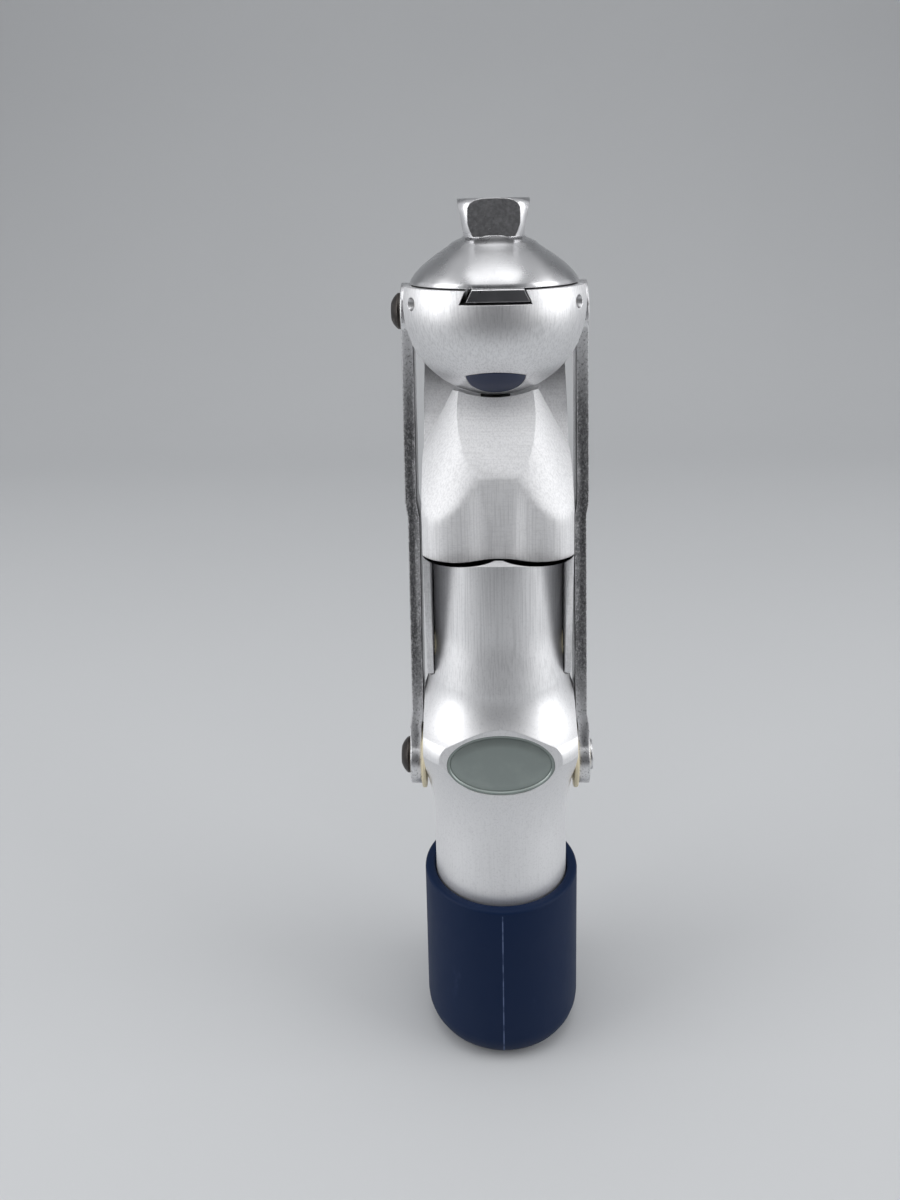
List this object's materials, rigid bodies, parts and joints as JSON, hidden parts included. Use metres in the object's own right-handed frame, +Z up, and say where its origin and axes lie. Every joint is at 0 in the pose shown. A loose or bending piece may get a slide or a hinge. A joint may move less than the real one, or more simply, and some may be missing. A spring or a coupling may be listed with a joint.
{
  "type": "prosthetic knee joint",
  "caption": "Polycentric prosthetic knee joint with side bars, fork link, pyramid adapter, pneumatic swing control and a capped tube clamp.",
  "frame": {"origin": "centre of the protective cap's flat bottom, on the floor under the tube axis", "axes": "+Z up along the tube axis towards the pyramid, +Y to the rear of the knee, +X to the right of the picture"},
  "size_m": [0.0547, 0.0663, 0.241],
  "materials": {
    "navy_rubber": "satin",
    "light_metal": "satin",
    "plate_grey": "matt",
    "ground_steel": "ground",
    "black_steel": "blackened",
    "cream_plastic": "matt",
    "polished_steel": "polished",
    "navy_plastic": "satin",
    "black_rubber": "matt"
  },
  "bodies": {
    "shank": {"lower_housing": "light_metal", "clamp_screw": "black_steel", "emblem_plate": "plate_grey", "pivot_screw_right": "ground_steel", "pivot_screw_left": "black_steel", "link_bush_right": "cream_plastic", "link_bush_left": "cream_plastic", "cylinder_gland": "light_metal"},
    "cap": {"protective_cap": "navy_rubber"},
    "bars": {"side_bar_right": "ground_steel", "side_bar_left": "ground_steel", "pivot_bush_right": "cream_plastic", "pivot_bush_left": "cream_plastic", "upper_axle": "ground_steel", "axle_button": "black_steel"},
    "head": {"joint_head": "light_metal", "head_bush_right": "cream_plastic", "head_bush_left": "cream_plastic", "head_inlay": "navy_plastic", "head_set_screw_right": "ground_steel", "head_set_screw_left": "ground_steel", "pyramid_plate": "polished_steel"},
    "link": {"fork_link": "light_metal", "fork_axle": "ground_steel", "link_axle": "ground_steel", "extension_bumper": "black_rubber", "crank_lever": "ground_steel", "crank_pin": "ground_steel"},
    "piston_set": {"piston_rod": "ground_steel", "piston": "light_metal", "piston_seal": "black_rubber"},
    "flexion_valve": {"flexion_adjuster": "ground_steel"},
    "extension_valve": {"extension_adjuster": "ground_steel"}
  },
  "joints": [
    {"name": "knee_flexion", "type": "hinge", "parent": "bars", "child": "head", "pos_m": [0, 0.012, 0.211], "axis": [-1, 0, 0], "range_deg": [0, 69.5]},
    {"name": "bars_swing", "type": "hinge", "parent": "shank", "child": "bars", "pos_m": [0, 0, 0.0837], "axis": [-1, 0, 0], "range_deg": [0, 40.5]},
    {"name": "link_swing", "type": "hinge", "parent": "shank", "child": "link", "pos_m": [0, -0.002, 0.12], "axis": [-1, 0, 0], "range_deg": [0, 43.3]},
    {"name": "piston_stroke", "type": "slide", "parent": "shank", "child": "piston_set", "axis": [0, 0, -1], "range_m": [0, 0.0082]},
    {"name": "cap_pull", "type": "slide", "parent": "shank", "child": "cap", "axis": [0, 0, -1], "range_m": [0, 0.25]},
    {"name": "flexion_adjust", "type": "hinge", "parent": "shank", "child": "flexion_valve", "pos_m": [0.007, 0.02, 0.088], "axis": [0, 1, 0], "range_deg": [0, 180]},
    {"name": "extension_adjust", "type": "hinge", "parent": "shank", "child": "extension_valve", "pos_m": [-0.007, 0.02, 0.088], "axis": [0, 1, 0], "range_deg": [0, 180]}
  ],
  "couplings": [
    {"joint": "bars_swing", "follows": "knee_flexion", "ratio": 0.5823},
    {"joint": "link_swing", "follows": "knee_flexion", "ratio": 0.6218},
    {"joint": "piston_stroke", "follows": "knee_flexion", "m_per_rad": 0.00668}
  ]
}
